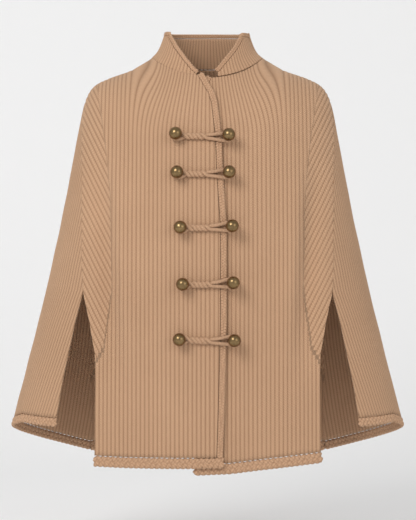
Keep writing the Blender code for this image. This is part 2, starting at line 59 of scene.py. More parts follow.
# ---- the rib ----
RIB_PITCH_FRONT = 0.0067
RIB_PITCH_SIDE = 0.0056
RIB_PITCH_BACK = 0.0067
RIB_PITCH_COLLAR = 0.0062
RIB_DEPTH = 0.0010
STITCH_LENGTH = 0.0038
YARN_TWIST = 0.0022
UNEVEN_HEIGHT = 0.0004
UNEVEN_REACH = 0.03
SHOULDER_RIB_LEAN = math.radians(27.0)

# ---- the braids: thick is how far they stand through, turn is the length of one full plait ----
Braid = namedtuple("Braid", "width thick turn")
EDGE_BRAID = Braid(FRONT_EDGE_WIDTH, 0.0052, 0.014)
COLLAR_BRAID = Braid(COLLAR_EDGE_WIDTH, 0.0058, 0.013)
HEM_BRAID = Braid(HEM_WIDTH_BODY, 0.0062, 0.024)
SIDE_HEM_BRAID = Braid(HEM_WIDTH_SIDE, 0.0060, 0.022)
BRAID_STEP = 0.0016
BRAID_SIDES = 8

# ---- the cords and balls ----
CORD_SIDES = 10
CORD_POINTS = 61
CORD_TURNS = 2.5
SHANK_CLEARANCE = 0.0012
FOOT_RADIUS = 0.0034

# ---- how finely the shells are made ----
FRONT_MESH = (196, 150)
SIDE_MESH = (232, 96)
BACK_MESH = (380, 104)
COLLAR_MESH = (400, 16)

# ---- sections of the body, from the neck seam down; the last row lies below the hem ----
Section = namedtuple("Section", "half_width side_z front_y front_z back_y back_z square")
SECTIONS = (
    Section(0.0880, 0.0190, -0.0680, -0.0160, 0.0750, 0.0080, 2.00),
    Section(0.1192, 0.0000, -0.0800, -0.0400, 0.0880, -0.0150, 2.00),
    Section(0.1552, -0.0128, -0.0910, -0.0650, 0.0980, -0.0420, 2.00),
    Section(0.1800, -0.0256, -0.0990, -0.0900, 0.1060, -0.0720, 2.00),
    Section(0.1932, -0.0440, -0.1070, -0.1180, 0.1120, -0.1040, 2.00),
    Section(0.2005, -0.0700, -0.1140, -0.1480, 0.1170, -0.1350, 2.05),
    Section(0.2080, -0.1080, -0.1200, -0.1800, 0.1200, -0.1680, 2.10),
    Section(0.2176, -0.1600, -0.1240, -0.2200, 0.1220, -0.2080, 2.15),
    Section(0.2335, -0.2420, -0.1260, -0.2780, 0.1225, -0.2700, 2.20),
    Section(0.2576, -0.3520, -0.1255, -0.3520, 0.1220, -0.3520, 2.20),
    Section(0.2816, -0.4480, -0.1245, -0.4480, 0.1235, -0.4480, 2.20),
    Section(0.3064, -0.5440, -0.1250, -0.5440, 0.1260, -0.5440, 2.20),
    Section(0.3310, -0.6400, -0.1255, -0.6400, 0.1290, -0.6400, 2.20),
    Section(0.3500, -0.7200, -0.1260, -0.7200, 0.1320, -0.7200, 2.20),
)

# ---- sections of the collar, from the neck seam up ----
COLLAR_SECTIONS = (
    Section(0.0880, 0.0190, -0.0680, -0.0160, 0.0750, 0.0080, 2.00),
    Section(0.0800, 0.0260, -0.0655, 0.0020, 0.0732, 0.0220, 2.00),
    Section(0.0745, 0.0350, -0.0630, 0.0190, 0.0720, 0.0360, 2.00),
    Section(0.0700, 0.0465, -0.0605, 0.0370, 0.0708, 0.0505, 2.00),
    Section(0.0662, 0.0590, -0.0580, 0.0560, 0.0702, 0.0665, 2.00),
)

# ---- where the panels meet, as angles from the centre front ----
Seam = namedtuple("Seam", "down body_side wing_front wing_back")
SEAMS = (
    Seam(0.0, 95.0, 95.0, 95.0),
    Seam(4.0, 94.0, 94.0, 94.0),
    Seam(4.5, 91.0, 91.0, 96.0),
    Seam(5.0, 82.9, 82.9, 99.0),
    Seam(6.0, 72.7, 72.7, 107.3),
    Seam(7.0, 64.6, 64.6, 115.4),
    Seam(8.0, 55.8, 55.8, 124.2),
    Seam(9.0, 46.9, 46.9, 133.1),
    Seam(9.5, 40.8, 48.2, 136.2),
    Seam(10.0, 36.2, 48.6, 138.7),
    Seam(10.5, 34.0, 48.8, 140.8),
    Seam(11.2, 31.8, 48.0, 143.8),
    Seam(12.0, 29.5, 47.3, 146.6),
    Seam(13.0, 28.0, 47.0, 148.5),
)
GORE_TOP = 4.5                     # where each side gore starts, on the shoulder point

# ---- the outer line of each front edge, x by height ----
EdgePoint = namedtuple("EdgePoint", "z right_x left_x")
FRONT_EDGES = (
    EdgePoint(0.000, -0.0120, 0.0040),
    EdgePoint(-0.016, -0.0050, -0.0040),
    EdgePoint(-0.033, 0.0040, -0.0120),
    EdgePoint(-0.045, 0.0112, -0.0160),
    EdgePoint(-0.060, 0.0158, -0.0185),
    EdgePoint(-0.112, 0.0219, -0.0200),
    EdgePoint(-0.170, 0.0240, -0.0205),
    EdgePoint(-0.254, 0.0296, -0.0205),
    EdgePoint(-0.400, 0.0296, -0.0205),
    EdgePoint(-0.530, 0.0265, -0.0205),
    EdgePoint(-0.640, 0.0227, -0.0210),
)

# ---- the collar's cut front edge, how far it stands from the centre by height ----
CutPoint = namedtuple("CutPoint", "z right_x left_x")
COLLAR_CUT = (
    CutPoint(-0.0160, 0.0010, 0.0005),
    CutPoint(-0.0090, 0.0110, 0.0050),
    CutPoint(0.0000, 0.0200, 0.0125),
    CutPoint(0.0040, 0.0245, 0.0190),
    CutPoint(0.0165, 0.0360, 0.0310),
    CutPoint(0.0380, 0.0500, 0.0480),
    CutPoint(0.0700, 0.0650, 0.0650),
)

# ---- the lower edge of each panel's hem band: its height at five places from front side to back side ----
HEM_SHARES = (0.0, 0.25, 0.5, 0.75, 1.0)
HEM_RIGHT = (-0.6240, -0.6245, -0.6245, -0.6240, -0.6225)
HEM_LEFT = (-0.6350, -0.6330, -0.6270, -0.6220, -0.6170)
HEM_SIDE = (-0.5640, -0.5600, -0.5760, -0.5980, -0.6190)
HEM_BACK = (-0.6200, -0.6270, -0.6290, -0.6270, -0.6200)

# ---- the largest folds: soft troughs (minus) and ridges (plus), by x on the front or back ----
Fold = namedtuple("Fold", "face x lean top bottom width depth")
FOLDS = (
    Fold("front", -0.156, 0.030, -0.130, -0.520, 0.017, -0.0110),
    Fold("front", -0.129, 0.020, -0.150, -0.500, 0.015, 0.0050),
    Fold("front", 0.158, -0.025, -0.140, -0.500, 0.017, -0.0100),
    Fold("front", 0.131, -0.020, -0.160, -0.480, 0.015, 0.0045),
    Fold("front", -0.082, 0.012, -0.330, -0.640, 0.022, -0.0030),
    Fold("front", 0.090, 0.010, -0.360, -0.650, 0.024, -0.0035),
    Fold("back", -0.130, 0.020, -0.180, -0.640, 0.022, -0.0090),
    Fold("back", 0.120, -0.030, -0.220, -0.640, 0.024, -0.0080),
    Fold("back", -0.045, -0.010, -0.300, -0.660, 0.026, -0.0060),
    Fold("back", 0.038, 0.016, -0.260, -0.660, 0.022, -0.0055),
)

# ---- fastenings, from the top: the place of each ball, and how far the cord sags ----
Fastening = namedtuple("Fastening", "right_x right_z left_x left_z sag")
FASTENINGS = (
    Fastening(-0.0475, -0.0931, 0.0312, -0.0937, 0.0008),
    Fastening(-0.0453, -0.1726, 0.0317, -0.1726, 0.0010),
    Fastening(-0.0406, -0.2547, 0.0364, -0.2527, 0.0016),
    Fastening(-0.0373, -0.3408, 0.0380, -0.3385, 0.0022),
    Fastening(-0.0421, -0.4250, 0.0396, -0.4266, 0.0020),
)


# ======== the form of the body ========

def smooth_value(table, name, place):
    """A column of a table at a fractional row, on a curve through all its rows."""
    column = np.array([getattr(row, name) for row in table])
    place = np.clip(np.asarray(place, float), 0.0, len(column) - 1.0)
    first = np.clip(np.floor(place).astype(int), 0, len(column) - 2)
    part = place - first
    last = len(column) - 1
    before = column[np.maximum(first - 1, 0)]
    here = column[first]
    there = column[first + 1]
    after = column[np.minimum(first + 2, last)]
    start_slope = (there - before) / 2
    end_slope = (after - here) / 2
    return (
        here * (2 * part**3 - 3 * part**2 + 1)
        + start_slope * (part**3 - 2 * part**2 + part)
        + there * (3 * part**2 - 2 * part**3)
        + end_slope * (part**3 - part**2)
    )


def line_value(table, key, name, place):
    """A column of a table by another of its columns, in straight steps."""
    keys = np.array([getattr(row, key) for row in table])
    values = np.array([getattr(row, name) for row in table])
    order = np.argsort(keys)
    return np.interp(place, keys[order], values[order])


def plain_form(table, angle, place):
    """Points of the body or the collar before its folds."""
    turn = np.radians(angle)
    side = np.sin(turn)
    ahead = np.cos(turn)
    is_front = ahead >= 0
    power = 2 / smooth_value(table, "square", place)
    x = smooth_value(table, "half_width", place) * np.sign(side) * np.abs(side) ** power
    depth = np.where(is_front, smooth_value(table, "front_y", place), smooth_value(table, "back_y", place))
    y = depth * np.abs(ahead) ** power
    side_z = smooth_value(table, "side_z", place)
    end_z = np.where(is_front, smooth_value(table, "front_z", place), smooth_value(table, "back_z", place))
    z = side_z + (end_z - side_z) * np.abs(ahead) ** SHOULDER_LEAN
    return np.stack(np.broadcast_arrays(x, y, z), axis=-1)


def outward(form, angle, place):
    """The outward direction of a form, from two short steps across it."""
    step_round = 0.4
    step_down = 0.02
    across = form(angle + step_round, place) - form(angle - step_round, place)
    along = form(angle, place + step_down) - form(angle, place - step_down)
    normal = np.cross(across, along)
    normal /= np.maximum(np.linalg.norm(normal, axis=-1, keepdims=True), 1e-12)
    middle = form(angle, place) * np.array([1.0, 1.0, 0.0])
    inward = (normal * middle).sum(-1, keepdims=True) < 0
    return np.where(inward, -normal, normal)


def rise_and_fall(height, top, bottom):
    """0 at the two ends of a fold and 1 at its middle, softly."""
    share = np.clip((top - height) / (top - bottom), 0.0, 1.0)
    return np.sin(math.pi * share) ** 0.8


def fold_depth(points, facing_front):
    """How far the folds move each point outwards."""
    depth = np.zeros(points.shape[:-1])
    for fold in FOLDS:
        share = np.clip((fold.top - points[..., 2]) / (fold.top - fold.bottom), 0.0, 1.0)
        middle = fold.x + fold.lean * (share - 0.5)
        across = (points[..., 0] - middle) / fold.width
        there = facing_front if fold.face == "front" else ~facing_front
        height = rise_and_fall(points[..., 2], fold.top, fold.bottom)
        depth += np.where(there, fold.depth * height * np.exp(-across**2), 0.0)
    return depth


def body_plain(angle, down):
    return plain_form(SECTIONS, angle, down)


def body(angle, down):
    """Points of the body with its folds."""
    points = body_plain(angle, down)
    facing_front = np.cos(np.radians(angle + 0 * down)) > 0
    return points + outward(body_plain, angle, down) * fold_depth(points, facing_front)[..., None]


def collar(angle, up):
    return plain_form(COLLAR_SECTIONS, angle, up)


def softly(value, start, end):
    """0 before start, 1 after end, with a soft step between."""
    share = np.clip((value - start) / (end - start), 0.0, 1.0)
    return share * share * (3 - 2 * share)


def lap_shift(points, side):
    """How far outwards a front or the collar's end lies because the fronts overlap."""
    near_front = points[..., 1] < 0
    if side == "right":
        amount = LAP_OUT * softly(points[..., 0], -0.105, -0.065)
    else:
        amount = LAP_IN * softly(-points[..., 0], -0.095, -0.052)
    return np.where(near_front, amount, 0.0)


# ======== grids of points ========

def angle_of_edge(side, down, inset):
    """The angle where a front's outer edge, less an inset, crosses a section."""
    low = np.full(np.shape(down), -30.0)
    high = np.full(np.shape(down), 40.0)
    wanted = "right_x" if side == "right" else "left_x"
    towards_panel = -1.0 if side == "right" else 1.0
    for _ in range(30):
        middle = (low + high) / 2
        points = body_plain(middle, down)
        target = line_value(FRONT_EDGES, "z", wanted, points[..., 2]) + towards_panel * inset
        beyond = points[..., 0] > target
        high = np.where(beyond, middle, high)
        low = np.where(beyond, low, middle)
    return (low + high) / 2


def even_angles(start, end, down, shares, margin):
    """Angles that split each section between two edges into even lengths of cloth."""
    found = np.zeros((len(down), len(shares)))
    steps = np.linspace(0.0, 1.0, 81)
    for row, place in enumerate(down):
        angles = start[row] + (end[row] - start[row]) * steps
        line = body_plain(angles, np.full_like(angles, place))
        run = np.concatenate([[0.0], np.cumsum(np.linalg.norm(np.diff(line, axis=0), axis=1))])
        wanted = margin[0] + (run[-1] - margin[0] - margin[1]) * shares
        found[row] = np.interp(wanted, run, angles)
    return found


def down_at_height(angle, height):
    """The section where the form at an angle reaches a height.

    It looks no higher than section 4, so the top fastening, which is above that, comes out too low.
    """
    low = np.full(np.shape(angle), 4.0)
    high = np.full(np.shape(angle), 13.0)
    for _ in range(34):
        middle = (low + high) / 2
        lower = body_plain(angle, middle)[..., 2] < height
        high = np.where(lower, middle, high)
        low = np.where(lower, low, middle)
    return (low + high) / 2


def panel_grid(start_at, end_at, top, hem, band, columns, rows, margin):
    """Angles and sections of a panel's fine grid."""
    shares = np.linspace(0.0, 1.0, columns)
    levels = np.linspace(top, 12.9, 130)
    angles = even_angles(start_at(levels), end_at(levels), levels, shares, margin)
    hem_height = np.interp(shares, HEM_SHARES, hem) + band
    bottom = np.zeros(columns)
    for column in range(columns):
        heights = body_plain(angles[:, column], levels)[..., 2]
        bottom[column] = np.interp(-hem_height[column], -heights, levels)
    down = top + (bottom[None, :] - top) * np.linspace(0.0, 1.0, rows)[:, None]
    angle = np.zeros_like(down)
    for column in range(columns):
        angle[:, column] = np.interp(down[:, column], levels, angles[:, column])
    return angle, down


def seam_line(name, side):
    """A function that gives a seam's signed angle by section."""
    sign = -1.0 if side == "right" else 1.0
    return lambda down: sign * line_value(SEAMS, "down", name, down)


def unit(vectors):
    return vectors / np.maximum(np.linalg.norm(vectors, axis=-1, keepdims=True), 1e-12)


# ======== where the ribs run ========

def length_round(x):
    """The length of cloth from the centre to a place x across, on the chest's own curve."""
    half, depth = 0.245, 0.126
    steps = np.linspace(0.0, 0.999, 400)
    rise = depth * (1 - steps**2.2) ** (1 / 2.2)
    run = np.concatenate([[0.0], np.cumsum(np.hypot(np.diff(steps * half), np.diff(rise)))])
    return np.sign(x) * np.interp(np.abs(x), steps * half, run)


def valley_line(z):
    """Where the ribs of the shoulder's outer part run into the straight ones, by height."""
    depth = (0.0, 0.06, 0.12, 0.20, 0.35, 0.44, 0.49)
    across = (0.182, 0.170, 0.160, 0.151, 0.148, 0.160, 0.190)
    return np.interp(-z, depth, across)


def straight_ribs(points, side_sign, pitch, with_fan):
    """The rib's count and its strength at each point of a front or of the back."""
    across = points[..., 0] * side_sign
    z = points[..., 2]
    spread = across
    if with_fan:
        pull = 0.30 * softly(z, -0.110, 0.012) * (1 - softly(np.abs(across), 0.070, 0.130))
        spread = across / (1 - pull)
    ribs = length_round(spread) / pitch
    lean = math.tan(SHOULDER_RIB_LEAN)
    slanted = (np.abs(across) - lean * z) * math.cos(SHOULDER_RIB_LEAN) / pitch
    valley = valley_line(z)
    outer = (np.abs(across) > valley) & (z < 0.0) & (z > -0.50)
    ribs = np.where(outer, np.sign(across) * slanted, ribs)
    fade = 1 - 0.7 * np.exp(-((np.abs(across) - valley) / 0.007) ** 2) * (z > -0.50)
    return ribs, fade


def rib_height(ribs, strength):
    """How far the rib stands out: round tops and narrow troughs."""
    wave = np.abs(np.cos(math.pi * ribs)) ** 0.7
    return RIB_DEPTH * (wave - 0.6) * strength


def unevenness(points, size, seed):
    """A soft, fixed unevenness of the cloth, between about -1 and 1."""
    x, y, z = points[..., 0] / size, points[..., 1] / size, points[..., 2] / size
    return (
        np.sin(1.7 * x + 0.9 * z + seed) * np.cos(1.1 * z - 0.7 * y + 2 * seed)
        + 0.5 * np.sin(2.9 * z + 1.3 * x - 3 * seed)
    ) / 1.5


# ======== making meshes ========

def add_mesh(name, points, faces, finish, attributes):
    """One named, smooth-shaded piece on the root body."""
    mesh = bpy.data.meshes.new(name)
    mesh.from_pydata(points.tolist(), [], faces)
    mesh.update()
    mesh.shade_smooth()
    for key, values in attributes.items():
        layer = mesh.attributes.new(key, "FLOAT", "POINT")
        layer.data.foreach_set("value", np.asarray(values, np.float32).ravel())
    mesh.materials.append(finish)
    made = bpy.data.objects.new(name, mesh)
    bpy.context.scene.collection.objects.link(made)
    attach(made, "root")
    return made


def grid_faces(rows, columns, start, turned):
    """The quads of a grid of points."""
    index = start + np.arange(rows * columns).reshape(rows, columns)
    quads = np.stack([index[:-1, :-1], index[:-1, 1:], index[1:, 1:], index[1:, :-1]], axis=-1).reshape(-1, 4)
    return quads[:, ::-1] if turned else quads


def shell(name, outer, inner, ribs, run, finish):
    """A closed thin shell between two grids, with the rib and the run of the stitches kept at its points."""
    rows, columns = outer.shape[:2]
    points = np.concatenate([outer.reshape(-1, 3), inner.reshape(-1, 3)])
    back = rows * columns
    index = np.arange(back).reshape(rows, columns)
    rim = np.concatenate([index[0], index[1:, -1], index[-1, -2::-1], index[-2:0:-1, 0]])
    after = np.roll(rim, -1)
    side_faces = np.stack([after, rim, rim + back, after + back], axis=-1)
    row, column = rows // 2, columns // 2
    here = outer[row, column]
    turn = np.cross(outer[row + 1, column] - here, outer[row, column + 1] - here)
    facing = np.dot(turn, here - inner[row, column]) > 0
    faces = np.concatenate([
        grid_faces(rows, columns, 0, facing),
        grid_faces(rows, columns, back, not facing),
        side_faces if not facing else side_faces[:, ::-1],
    ])
    twice = {"rib": np.concatenate([ribs.ravel()] * 2), "run": np.concatenate([run.ravel()] * 2)}
    return add_mesh(name, points, faces.tolist(), finish, twice)


def cloth_length(face):
    """The length of cloth down each column of a grid, from its foot."""
    steps = np.linalg.norm(np.diff(face, axis=0), axis=-1)
    down = np.concatenate([np.zeros((1, face.shape[1])), np.cumsum(steps, axis=0)])
    return down - down[-1:]


def knitted(name, form, angle, place, shift, wall, rib_field, finish):
    """A ribbed panel: its shell, and the outer and inner faces without their ribs."""
    normal = outward(form, angle, place)
    face = form(angle, place)
    moved = face + normal * shift(face)[..., None]
    ribs, strength = rib_field(face)
    raised = rib_height(ribs, strength) + UNEVEN_HEIGHT * unevenness(face, UNEVEN_REACH, len(name))
    inner = moved - normal * wall
    shell_outer = moved + normal * raised[..., None]
    shell_inner = inner - normal * (rib_height(ribs + 0.5, strength) * 0.8)[..., None]
    made = shell(name, shell_outer, shell_inner, ribs, cloth_length(face), finish)
    return made, moved, inner


def tube(rings):
    """Points and faces of a tube through rings of points, with flat ends."""
    count, sides = rings.shape[:2]
    ring = np.arange(count - 1)[:, None] * sides
    side = np.arange(sides)[None, :]
    beside = (side + 1) % sides
    quads = np.stack([ring + side, ring + beside, ring + sides + beside, ring + sides + side], axis=-1)
    faces = quads.reshape(-1, 4).tolist()
    faces.append(list(range(sides - 1, -1, -1)))
    faces.append([(count - 1) * sides + number for number in range(sides)])
    return rings.reshape(-1, 3), faces


def strand_rings(line, radius, sides, flat=1.0, facing=None):
    """Round rings along a line; flat squeezes them towards the facing direction."""
    along = unit(np.gradient(line, axis=0))
    guide = facing if facing is not None else np.broadcast_to([0.0, -1.0, 0.0], line.shape)
    across = unit(np.cross(along, guide))
    up = unit(np.cross(across, along))
    turn = np.linspace(0, 2 * math.pi, sides, endpoint=False)
    return (
        line[:, None]
        + across[:, None] * np.cos(turn)[None, :, None] * radius
        + up[:, None] * np.sin(turn)[None, :, None] * radius * flat
    )


def joined(parts):
    """Several meshes' points and faces as one."""
    points, faces, start = [], [], 0
    for some_points, some_faces in parts:
        points.append(some_points)
        faces += [[start + corner for corner in face] for face in some_faces]
        start += len(some_points)
    return np.concatenate(points), faces


def resampled(line, step):
    """Lengths at an even step along a line, and the line's length at each of its own points."""
    run = np.concatenate([[0.0], np.cumsum(np.linalg.norm(np.diff(line, axis=0), axis=-1))])
    count = max(int(run[-1] / step), 8)
    wanted = np.linspace(0.0, run[-1], count + 1)
    return wanted, run


def braid(name, line, out, normal, kind, finish):
    """A three-strand plait laid along a panel's edge, on a thin core so that no light comes through."""
    width, thick, turn_length = kind
    wanted, run = resampled(line, BRAID_STEP)
    middle = np.stack([np.interp(wanted, run, line[:, axis]) for axis in range(3)], axis=-1)
    away = unit(np.stack([np.interp(wanted, run, out[:, axis]) for axis in range(3)], axis=-1))
    up = unit(np.stack([np.interp(wanted, run, normal[:, axis]) for axis in range(3)], axis=-1))
    middle = middle + away * width / 2
    radius = width * 0.215
    reach = width / 2 - radius
    parts = []
    runs = []
    for strand in range(3):
        phase = 2 * math.pi * (wanted / turn_length + strand / 3)
        swing = np.sin(phase) * reach
        lift = np.sin(2 * phase) * thick * 0.20
        path = middle + away * swing[:, None] + up * lift[:, None]
        rings = strand_rings(path, radius, BRAID_SIDES, min(1.0, thick * 0.36 / radius), up)
        parts.append(tube(rings))
        runs.append(np.repeat(wanted, BRAID_SIDES))
    core = strand_rings(middle, width * 0.40, BRAID_SIDES, thick * 0.25 / (width * 0.40), up)
    parts.append(tube(core))
    runs.append(np.repeat(wanted, BRAID_SIDES))
    points, faces = joined(parts)
    made = add_mesh(name, points, faces, finish, {"run": np.concatenate(runs)})
    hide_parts(name.replace("braid_", ""))


def edge_from(outer, inner, neighbour, gap):
    """A line just outside a panel's edge, with its outward-in-plane and normal directions."""
    middle = (outer + inner) / 2
    normal = unit(outer - inner)
    along = unit(np.gradient(middle, axis=0))
    out = unit(np.cross(along, normal))
    flip = (out * (middle - neighbour)).sum(-1, keepdims=True) < 0
    out = np.where(flip, -out, out)
    return middle + out * gap, out, normal


# ======== materials ========

def node(tree, kind, **values):
    """A new shader node with its own settings."""
    made = tree.nodes.new(kind)
    for key, value in values.items():
        setattr(made, key, value)
    return made


def math_node(tree, operation, first, second=None):
    """The result of one sum, of numbers or of other nodes' results."""
    made = node(tree, "ShaderNodeMath", operation=operation)
    for place, value in enumerate((first, second)):
        if value is None:
            continue
        if isinstance(value, (int, float)):
            made.inputs[place].default_value = value
        else:
            tree.links.new(value, made.inputs[place])
    return made.outputs[0]


def scaled(tree, value, factor, added):
    """A value times a factor, plus a number."""
    made = math_node(tree, "MULTIPLY_ADD", value, factor)
    made.node.inputs[2].default_value = added
    return made


def ramp(tree, factor, low, high):
    """A colour between two, by a factor."""
    made = node(tree, "ShaderNodeMix", data_type="RGBA")
    made.inputs["A"].default_value = (*low, 1.0)
    made.inputs["B"].default_value = (*high, 1.0)
    tree.links.new(factor, made.inputs["Factor"])
    return made.outputs["Result"]


def noise(tree, scale, detail=3.0):
    place = node(tree, "ShaderNodeTexCoord")
    made = node(tree, "ShaderNodeTexNoise")
    made.inputs["Scale"].default_value = scale
    made.inputs["Detail"].default_value = detail
    tree.links.new(place.outputs["Object"], made.inputs["Vector"])
    return made.outputs["Fac"]


def knit_stitches(tree, run):
    """The stitches along a rib, and the painted shade that darkens the knit in its troughs and between
    stitches.
    """
    rib = node(tree, "ShaderNodeAttribute", attribute_name="rib").outputs["Fac"]
    share = math_node(tree, "FRACT", math_node(tree, "ADD", rib, 0.5))
    across = math_node(tree, "ABSOLUTE", math_node(tree, "SUBTRACT", share, 0.5))
    valley = math_node(tree, "MULTIPLY", across, 2.0)
    slanted = math_node(tree, "ADD", math_node(tree, "DIVIDE", run, STITCH_LENGTH), valley)
    wave = math_node(tree, "SINE", math_node(tree, "MULTIPLY", slanted, 2 * math.pi))
    stitch = scaled(tree, wave, 0.5, 0.5)
    # painted shade: the rib's troughs are darkened
    trough = math_node(tree, "MULTIPLY", math_node(tree, "POWER", valley, 3.0), 0.62)
    # painted shade: the dips between the stitches are darkened
    between = math_node(tree, "MULTIPLY", math_node(tree, "SUBTRACT", 1.0, stitch), 0.30)
    return stitch, math_node(tree, "ADD", trough, between)


def yarn_twist(tree, run):
    """The twist of a strand's yarn, and the painted shade that darkens it between the turns."""
    wave = math_node(tree, "SINE", math_node(tree, "MULTIPLY", run, 2 * math.pi / YARN_TWIST))
    twist = scaled(tree, wave, 0.5, 0.5)
    # painted shade between the yarn's turns
    return twist, math_node(tree, "MULTIPLY", math_node(tree, "SUBTRACT", 1.0, twist), 0.38)


def add_bump(tree, shader, height, strength, distance):
    """Raises a surface by a height, in its shading."""
    bump = node(tree, "ShaderNodeBump")
    bump.inputs["Strength"].default_value = strength
    bump.inputs["Distance"].default_value = distance
    tree.links.new(height, bump.inputs["Height"])
    tree.links.new(bump.outputs["Normal"], shader.inputs["Normal"])


def soft_shader(tree):
    """A matt, faintly shining surface like brushed wool."""
    shader = tree.nodes["Principled BSDF"]
    shader.inputs["Specular IOR Level"].default_value = 0.12
    shader.inputs["Sheen Weight"].default_value = 0.22
    shader.inputs["Sheen Roughness"].default_value = 0.55
    shader.inputs["Sheen Tint"].default_value = (0.95, 0.80, 0.62, 1.0)
    return shader


def wool(name, light, dark, pattern):
    """Camel wool: knit stitches along the ribs, or twisted yarn along a braid, under a soft fuzz; its colour
    is darkened by the pattern's painted shade and by the wool's own uneven tone.
    """
    made = bpy.data.materials.new(name)
    made.use_nodes = True
    tree = made.node_tree
    shader = soft_shader(tree)
    run = node(tree, "ShaderNodeAttribute", attribute_name="run").outputs["Fac"]
    fuzz = noise(tree, 900.0)
    stitch, painted_shade = pattern(tree, run)
    patch = math_node(tree, "MULTIPLY", noise(tree, 9.0, 4.0), 0.22)
    uneven = math_node(tree, "ADD", patch, math_node(tree, "MULTIPLY", fuzz, 0.16))
    # painted shade from the pattern plus the wool's own uneven tone
    shade = math_node(tree, "SUBTRACT", math_node(tree, "ADD", painted_shade, uneven), 0.14)
    clamped = math_node(tree, "MINIMUM", math_node(tree, "MAXIMUM", shade, 0.0), 1.0)
    tree.links.new(ramp(tree, clamped, light, dark), shader.inputs["Base Color"])
    tree.links.new(scaled(tree, fuzz, 0.12, 0.86), shader.inputs["Roughness"])
    height = math_node(tree, "ADD", stitch, math_node(tree, "MULTIPLY", fuzz, 0.9))
    add_bump(tree, shader, height, 0.8, 0.0006)
    return made


def antique_brass():
    """Dark antique brass, brighter where it is rubbed."""
    made = bpy.data.materials.new("antique_brass")
    made.use_nodes = True
    tree = made.node_tree
    shader = tree.nodes["Principled BSDF"]
    shader.inputs["Metallic"].default_value = 1.0
    tarnish = noise(tree, 160.0, 5.0)
    wide = noise(tree, 55.0, 2.0)
    share = math_node(tree, "ADD", math_node(tree, "MULTIPLY", tarnish, 0.7), math_node(
        tree, "MULTIPLY", wide, 0.4))
    tree.links.new(ramp(tree, share, (0.36, 0.24, 0.11), (0.105, 0.068, 0.034)), shader.inputs["Base Color"])
    tree.links.new(scaled(tree, tarnish, 0.22, 0.17), shader.inputs["Roughness"])
    add_bump(tree, shader, tarnish, 0.15, 0.0004)
    return made


# the second colour of each wool is reached by painted shade in its troughs and gaps and by the wool's own
# uneven tone
KNIT = wool("rib_wool", (0.560, 0.345, 0.212), (0.235, 0.124, 0.064), knit_stitches)
BRAID = wool("braided_wool", (0.545, 0.335, 0.207), (0.235, 0.124, 0.066), yarn_twist)
BRASS = antique_brass()


# ======== the pieces ========

def no_shift(points):
    return 0.0 * points[..., 0]


def make_front(side):
    """One front's ribbed shell, its cable edging and its hem braid."""
    sign = -1.0 if side == "right" else 1.0
    columns, rows = FRONT_MESH
    hem = HEM_RIGHT if side == "right" else HEM_LEFT
    angle, down = panel_grid(lambda place: angle_of_edge(side, place, FRONT_EDGE_WIDTH),
                             seam_line("body_side", side), NECK_GAP_SECTIONS, hem, HEM_WIDTH_BODY,
                             columns, rows, (0.0, 0.0))

    def shift(points):
        return lap_shift(points, side)

    def ribs_of(points):
        return straight_ribs(points, sign, RIB_PITCH_FRONT, True)

    made, outer, inner = knitted(f"shell_front_{side}", body, angle, down, shift, KNIT_WALL, ribs_of, KNIT)
    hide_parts(f"front_{side}")
    middle = (outer + inner) / 2
    line, out, normal = edge_from(outer[:, 0], inner[:, 0], middle[:, 1], 0.0)
    braid(f"braid_edge_front_{side}", line, out, normal, EDGE_BRAID, BRAID)
    line, out, normal = edge_from(outer[-1], inner[-1], middle[-2], 0.0)
    beyond = line[:1] + unit(line[:1] - line[1:2]) * FRONT_EDGE_WIDTH
    line = np.concatenate([beyond, line])
    out = np.concatenate([out[:1], out])
    normal = np.concatenate([normal[:1], normal])
    braid(f"braid_hem_front_{side}", line, out, normal, HEM_BRAID, BRAID)
    return made


def make_side(side):
    """One side gore's ribbed shell and its hem braid."""
    columns, rows = SIDE_MESH
    angle, down = panel_grid(seam_line("wing_front", side), seam_line("wing_back", side), GORE_TOP, HEM_SIDE,
                             HEM_WIDTH_SIDE, columns, rows, (0.0, 0.0))
    shares = np.linspace(-0.5, 0.5, columns)

    def ribs_of(points):
        width = np.linalg.norm(np.diff(points, axis=1), axis=-1).sum(1)[:, None]
        return shares[None, :] * width / RIB_PITCH_SIDE, np.ones(points.shape[:-1])

    made, outer, inner = knitted(f"shell_side_{side}", body, angle, down, no_shift, KNIT_WALL, ribs_of, KNIT)
    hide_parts(f"side_{side}")
    middle = (outer + inner) / 2
    line, out, normal = edge_from(outer[-1], inner[-1], middle[-2], 0.0)
    braid(f"braid_hem_side_{side}", line, out, normal, SIDE_HEM_BRAID, BRAID)
    return made


def make_back():
    """The back's ribbed shell and its hem braid."""
    columns, rows = BACK_MESH
    left = seam_line("wing_back", "left")
    right = seam_line("wing_back", "right")
    angle, down = panel_grid(left, lambda place: 360.0 + right(place), NECK_GAP_SECTIONS, HEM_BACK,
                             HEM_WIDTH_BODY, columns, rows, (0.0, 0.0))
    made, outer, inner = knitted("shell_back", body, angle, down, no_shift, KNIT_WALL,
                                 lambda points: straight_ribs(points, 1.0, RIB_PITCH_BACK, False), KNIT)
    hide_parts("back")
    middle = (outer + inner) / 2
    line, out, normal = edge_from(outer[-1], inner[-1], middle[-2], 0.0)
    braid("braid_hem_back", line, out, normal, HEM_BRAID, BRAID)
    return made


def collar_top(angle):
    """How far up the collar reaches at an angle: to its rim, or to its slanting front edge."""
    signed = (angle + 180.0) % 360.0 - 180.0
    wanted = "left_x" if signed > 0 else "right_x"
    low, high = 0.0, len(COLLAR_SECTIONS) - 1.0
    if abs(signed) > 80.0:
        return high
    for _ in range(26):
        middle = (low + high) / 2
        point = collar(np.array(signed), np.array(middle))
        cut = line_value(COLLAR_CUT, "z", wanted, point[2])
        low, high = (middle, high) if cut < abs(point[0]) else (low, middle)
    return (low + high) / 2


